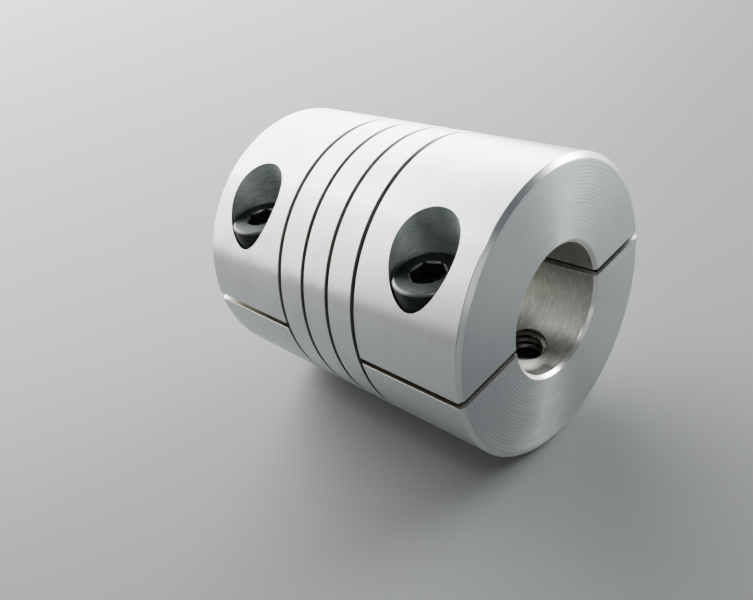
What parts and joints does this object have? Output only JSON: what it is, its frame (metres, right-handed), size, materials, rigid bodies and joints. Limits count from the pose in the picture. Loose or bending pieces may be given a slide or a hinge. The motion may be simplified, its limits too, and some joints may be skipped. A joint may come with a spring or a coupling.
{
  "type": "helical beam shaft coupling",
  "caption": "One-piece aluminium spiral-cut shaft coupling that clamps on both shafts with cap screws across slits.",
  "frame": {"origin": "centre of the body on the shaft axis, midway between the two end faces", "axes": "+X along the shaft axis out of the near hub; both clamp screws are driven from +Z and lie on the -Y side; the clamping slits lie in the plane z = 0"},
  "size_m": [0.03, 0.025, 0.025],
  "materials": {
    "turned_aluminium": "fine turned",
    "clamp_screw_steel": "black oxide",
    "set_screw_steel": "black oxide"
  },
  "bodies": {
    "near_hub": {"near_hub": "turned_aluminium"},
    "near_clamp_jaw": {"near_clamp_jaw": "turned_aluminium"},
    "near_clamp_screw": {"near_clamp_screw": "clamp_screw_steel"},
    "near_set_screw": {"near_set_screw": "set_screw_steel"},
    "beam_1": {"beam_1": "turned_aluminium"},
    "beam_2": {"beam_2": "turned_aluminium"},
    "beam_3": {"beam_3": "turned_aluminium"},
    "beam_4": {"beam_4": "turned_aluminium"},
    "far_hub": {"far_hub": "turned_aluminium"},
    "far_clamp_jaw": {"far_clamp_jaw": "turned_aluminium"},
    "far_clamp_screw": {"far_clamp_screw": "clamp_screw_steel"},
    "far_set_screw": {"far_set_screw": "set_screw_steel"}
  },
  "joints": [
    {"name": "near_pitch", "type": "hinge", "parent": "near_hub", "child": "beam_1", "pos_m": [0.003, 0, 0], "axis": [0, 1, 0], "range_deg": [-0.8, 0.8], "stiffness_Nm_per_rad": 10},
    {"name": "near_yaw", "type": "hinge", "parent": "beam_1", "child": "beam_2", "pos_m": [0.003, 0, 0], "axis": [0, 0, 1], "range_deg": [-0.8, 0.8], "stiffness_Nm_per_rad": 10},
    {"name": "axial", "type": "slide", "parent": "beam_2", "child": "beam_3", "axis": [-1, 0, 0], "range_m": [-0.00015, 0.00015], "stiffness_N_per_m": 40000},
    {"name": "far_yaw", "type": "hinge", "parent": "beam_3", "child": "beam_4", "pos_m": [-0.003, 0, 0], "axis": [0, 0, 1], "range_deg": [-0.8, 0.8], "stiffness_Nm_per_rad": 10},
    {"name": "far_pitch", "type": "hinge", "parent": "beam_4", "child": "far_hub", "pos_m": [-0.003, 0, 0], "axis": [0, 1, 0], "range_deg": [-0.8, 0.8], "stiffness_Nm_per_rad": 10},
    {"name": "near_clamp_screw_turn", "type": "hinge", "parent": "near_clamp_jaw", "child": "near_clamp_screw", "pos_m": [0.00995, -0.00815, 0.0045], "axis": [0, 0, -1], "range_deg": [0, 90]},
    {"name": "near_jaw_close", "type": "hinge", "parent": "near_hub", "child": "near_clamp_jaw", "pos_m": [0.00395, 0.006, 0], "axis": [1, 0, 0], "range_deg": [0, 0.507]},
    {"name": "far_clamp_screw_turn", "type": "hinge", "parent": "far_hub", "child": "far_clamp_screw", "pos_m": [-0.00995, -0.00815, 0.0045], "axis": [0, 0, -1], "range_deg": [0, 90]},
    {"name": "far_jaw_close", "type": "hinge", "parent": "far_hub", "child": "far_clamp_jaw", "pos_m": [-0.00395, 0.006, 0], "axis": [-1, 0, 0], "range_deg": [0, 0.507]},
    {"name": "near_set_screw_feed", "type": "slide", "parent": "near_hub", "child": "near_set_screw", "axis": [0, 0, 1], "range_m": [0, 0.0014]},
    {"name": "far_set_screw_feed", "type": "slide", "parent": "far_clamp_jaw", "child": "far_set_screw", "axis": [0, 0, 1], "range_m": [0, 0.0014]}
  ],
  "couplings": [
    {"joint": "near_jaw_close", "follows": "near_clamp_screw_turn", "ratio": 0.0056238},
    {"joint": "far_jaw_close", "follows": "far_clamp_screw_turn", "ratio": 0.0056238}
  ]
}
